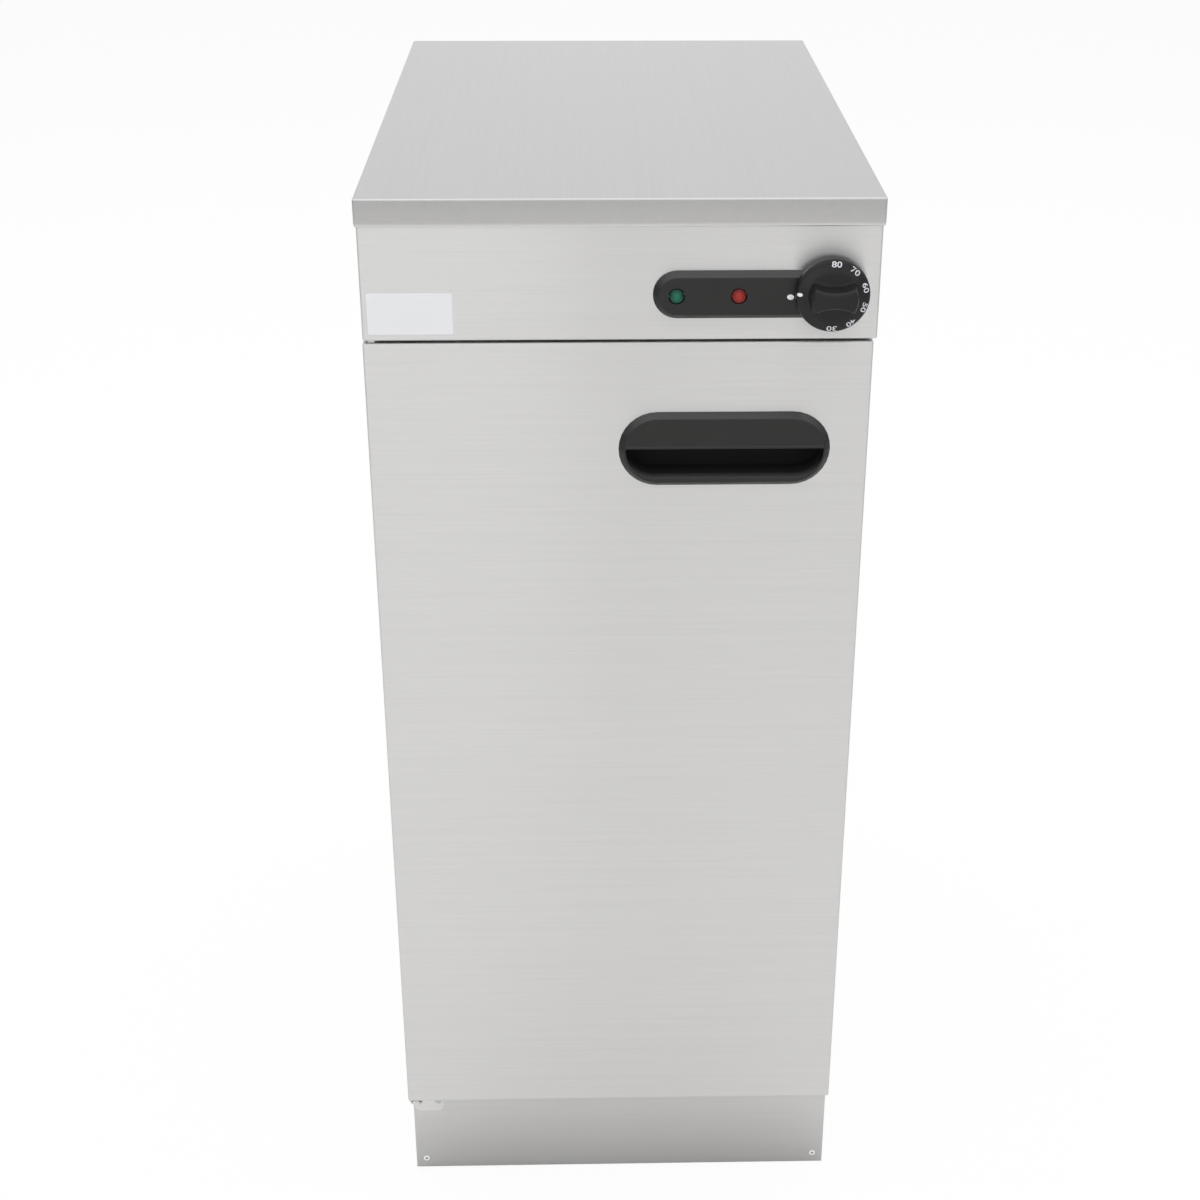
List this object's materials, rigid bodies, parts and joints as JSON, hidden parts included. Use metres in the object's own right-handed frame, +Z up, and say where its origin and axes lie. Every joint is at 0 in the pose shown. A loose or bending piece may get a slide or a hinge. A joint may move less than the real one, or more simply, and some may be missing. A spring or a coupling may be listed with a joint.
{
  "type": "plate warmer cabinet",
  "caption": "Free-standing heated cupboard in brushed steel: worktop, control fascia with thermostat and lamps, hinged door with recessed pull, rod shelves and plinth.",
  "frame": {"origin": "on the floor under the middle of the cabinet", "axes": "+Z up, +X to the right seen from the front, +Y to the back; the door faces -Y"},
  "size_m": [0.375, 0.6542, 0.9],
  "materials": {
    "casing_steel": "satin brushed stainless, grain across the front",
    "liner_steel": "plain mill-finish stainless",
    "bright_rod": "bright drawn rod",
    "element_sheath": "oxidised sheath",
    "zinc_steel": "zinc plated",
    "bracket_steel": "satin",
    "mineral_wool": "compressed mineral wool",
    "black_plastic": "fine moulded texture",
    "knob_plastic": "semi-gloss thermoset",
    "housing_plastic": "moulded",
    "green_lens": "translucent green",
    "red_lens": "translucent red",
    "white_nylon": "natural nylon",
    "magnet_iron": "ground ferrite",
    "copper_tube": "bare copper",
    "ceramic_block": "glazed steatite",
    "wire_sleeve": "glass-braid sleeve",
    "label_sheet": "blank white label"
  },
  "bodies": {
    "cabinet": {"base_panel": "liner_steel", "bottom_bracket_screws": "zinc_steel", "bottom_hinge_bracket": "bracket_steel", "bulb_clips": "zinc_steel", "cable_gland": "black_plastic", "capillary_tube": "copper_tube", "catch_magnet": "magnet_iron", "ceiling_insulation": "mineral_wool", "control_bezel": "black_plastic", "control_fascia": "casing_steel", "control_tray": "liner_steel", "control_wiring": "wire_sleeve", "earth_stud": "zinc_steel", "element_brackets": "liner_steel", "element_guard": "liner_steel", "feet_locknuts": "zinc_steel", "gland_locknut": "black_plastic", "green_lamp_lens": "green_lens", "heating_element": "element_sheath", "hinge_pins": "zinc_steel", "hinge_washers": "white_nylon", "lamp_bodies": "housing_plastic", "left_side_panel": "casing_steel", "levelling_feet": "zinc_steel", "liner_ceiling": "liner_steel", "liner_floor": "liner_steel", "liner_left": "liner_steel", "liner_rear": "liner_steel", "liner_right": "liner_steel", "lower_front_rail": "liner_steel", "lower_shelf": "bright_rod", "magnetic_catch": "white_nylon", "name_label": "label_sheet", "plinth_panel": "casing_steel", "plinth_rivets": "zinc_steel", "rear_insulation": "mineral_wool", "rear_panel": "casing_steel", "rear_panel_screws": "zinc_steel", "red_lamp_lens": "red_lens", "right_side_panel": "casing_steel", "sensing_bulb": "element_sheath", "shelf_runners": "liner_steel", "side_insulation": "mineral_wool", "terminal_block": "ceramic_block", "thermostat_body": "housing_plastic", "thermostat_screws": "zinc_steel", "top_hinge_bracket": "bracket_steel", "upper_front_rail": "liner_steel", "upper_shelf": "bright_rod", "worktop": "casing_steel", "worktop_stiffener": "liner_steel"},
    "door": {"door_outer_skin": "casing_steel", "door_inner_skin": "casing_steel", "door_insulation": "mineral_wool", "handle_cup": "black_plastic", "hinge_bushes": "white_nylon", "catch_strike_plate": "zinc_steel"},
    "knob": {"thermostat_knob": "knob_plastic", "thermostat_spindle": "zinc_steel"}
  },
  "joints": [
    {"name": "door_hinge", "type": "hinge", "parent": "cabinet", "child": "door", "pos_m": [-0.18, -0.285, 0.45], "axis": [0, 0, -1], "range_deg": [0, 180]},
    {"name": "thermostat_turn", "type": "hinge", "parent": "cabinet", "child": "knob", "pos_m": [0.1508, -0.31, 0.8332], "axis": [0, 1, 0], "range_deg": [0, 270]}
  ]
}
